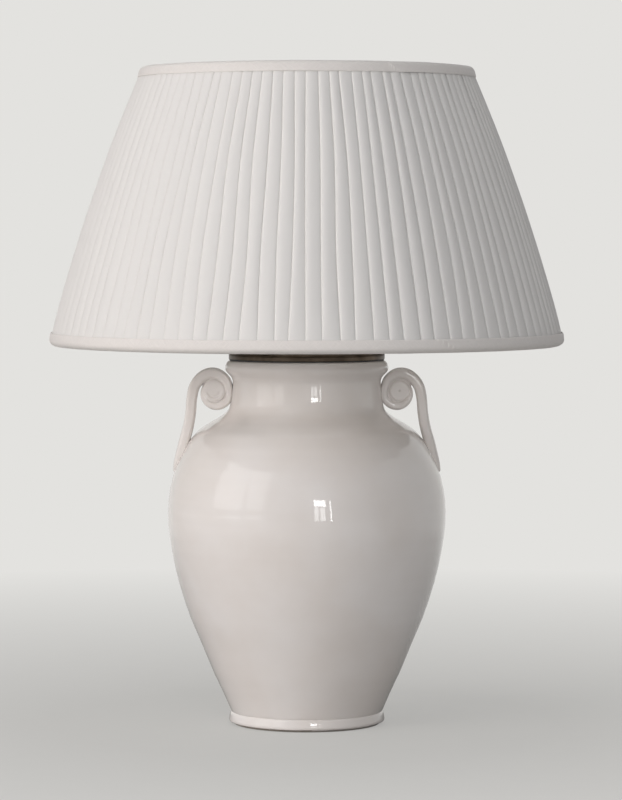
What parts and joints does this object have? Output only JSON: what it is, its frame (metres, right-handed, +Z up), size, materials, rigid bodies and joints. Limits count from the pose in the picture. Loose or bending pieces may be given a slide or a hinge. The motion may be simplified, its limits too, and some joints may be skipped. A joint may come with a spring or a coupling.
{
  "type": "table lamp",
  "caption": "Glazed ceramic jar table lamp with scroll handles, a switched lampholder, a lift-off shade carrier and a wide pleated shade.",
  "frame": {"origin": "middle of the foot's underside, on the surface that the lamp stands on", "axes": "+Z up the lamp's axis, -Y towards the pictured front, the handles along X, the cable hole at +Y"},
  "size_m": [0.5081, 0.5082, 0.648],
  "materials": {
    "cream_glaze": "glossy cream-white tin glaze over stoneware",
    "wool_felt": "pressed wool felt",
    "black_rubber": "matt moulded rubber",
    "zinc_steel": "bright zinc plate",
    "aged_bronze": "brass, patinated dark brown",
    "satin_brass": "satin lacquered brass",
    "spring_brass": "bright rolled strip",
    "porcelain": "pressed, glazed porcelain",
    "white_enamel_wire": "white powder-coated steel",
    "bulb_glass": "clear blown glass",
    "bulb_cap_metal": "rolled, nickelled",
    "black_vitrite": "black cap glass",
    "tungsten": "drawn wire",
    "pleated_linen": "plain-weave linen in knife pleats",
    "trim_linen": "bias-cut linen strip",
    "lining_cloth": "smooth white lining"
  },
  "bodies": {
    "lamp_base": {"vase_body": "cream_glaze", "handle_left": "cream_glaze", "handle_right": "cream_glaze", "felt_pad": "wool_felt", "base_rubber_washer": "black_rubber", "base_washer": "zinc_steel", "base_nut": "zinc_steel", "tie_rod": "zinc_steel", "cable_grommet": "black_rubber", "cap_gasket": "black_rubber", "vase_cap": "aged_bronze", "neck_spindle": "aged_bronze", "holder_base_cup": "satin_brass", "holder_lock_nut": "zinc_steel", "switch_body": "satin_brass", "holder_block": "porcelain", "terminal_screws": "zinc_steel", "centre_contact": "spring_brass", "screw_shell": "satin_brass", "holder_skirt": "satin_brass"},
    "switch": {"switch_bar": "satin_brass", "switch_bridge": "spring_brass"},
    "shade_clamp": {"shade_ring": "satin_brass"},
    "carrier": {"carrier_plate": "white_enamel_wire", "carrier_arms": "white_enamel_wire", "carrier_duplex_ring": "white_enamel_wire"},
    "bulb": {"bulb_contact": "bulb_cap_metal", "bulb_insulator": "black_vitrite", "bulb_cap": "bulb_cap_metal", "bulb_glass": "bulb_glass", "bulb_stem": "bulb_glass", "bulb_filament": "tungsten"},
    "shade": {"shade_cover": "pleated_linen", "shade_lining": "lining_cloth", "top_trim": "trim_linen", "bottom_trim": "trim_linen", "frame_top_ring": "white_enamel_wire", "frame_bottom_ring": "white_enamel_wire", "frame_struts": "white_enamel_wire", "spider_ring": "white_enamel_wire", "spider_arms": "white_enamel_wire"}
  },
  "joints": [
    {"name": "switch_push", "type": "slide", "parent": "lamp_base", "child": "switch", "axis": [1, 0, 0], "range_m": [0, 0.006]},
    {"name": "ring_unscrew", "type": "hinge", "parent": "lamp_base", "child": "shade_clamp", "pos_m": [0, 0, 0.438], "axis": [0, 0, 1], "range_deg": [0, 1080]},
    {"name": "carrier_turn", "type": "hinge", "parent": "lamp_base", "child": "carrier", "pos_m": [0, 0, 0.433], "axis": [0, 0, 1], "continuous": true},
    {"name": "bulb_unscrew", "type": "hinge", "parent": "lamp_base", "child": "bulb", "pos_m": [0, 0, 0.456], "axis": [0, 0, 1], "range_deg": [0, 1080]},
    {"name": "shade_lift", "type": "slide", "parent": "carrier", "child": "shade", "axis": [0, 0, 1], "range_m": [0, 0.24]}
  ]
}
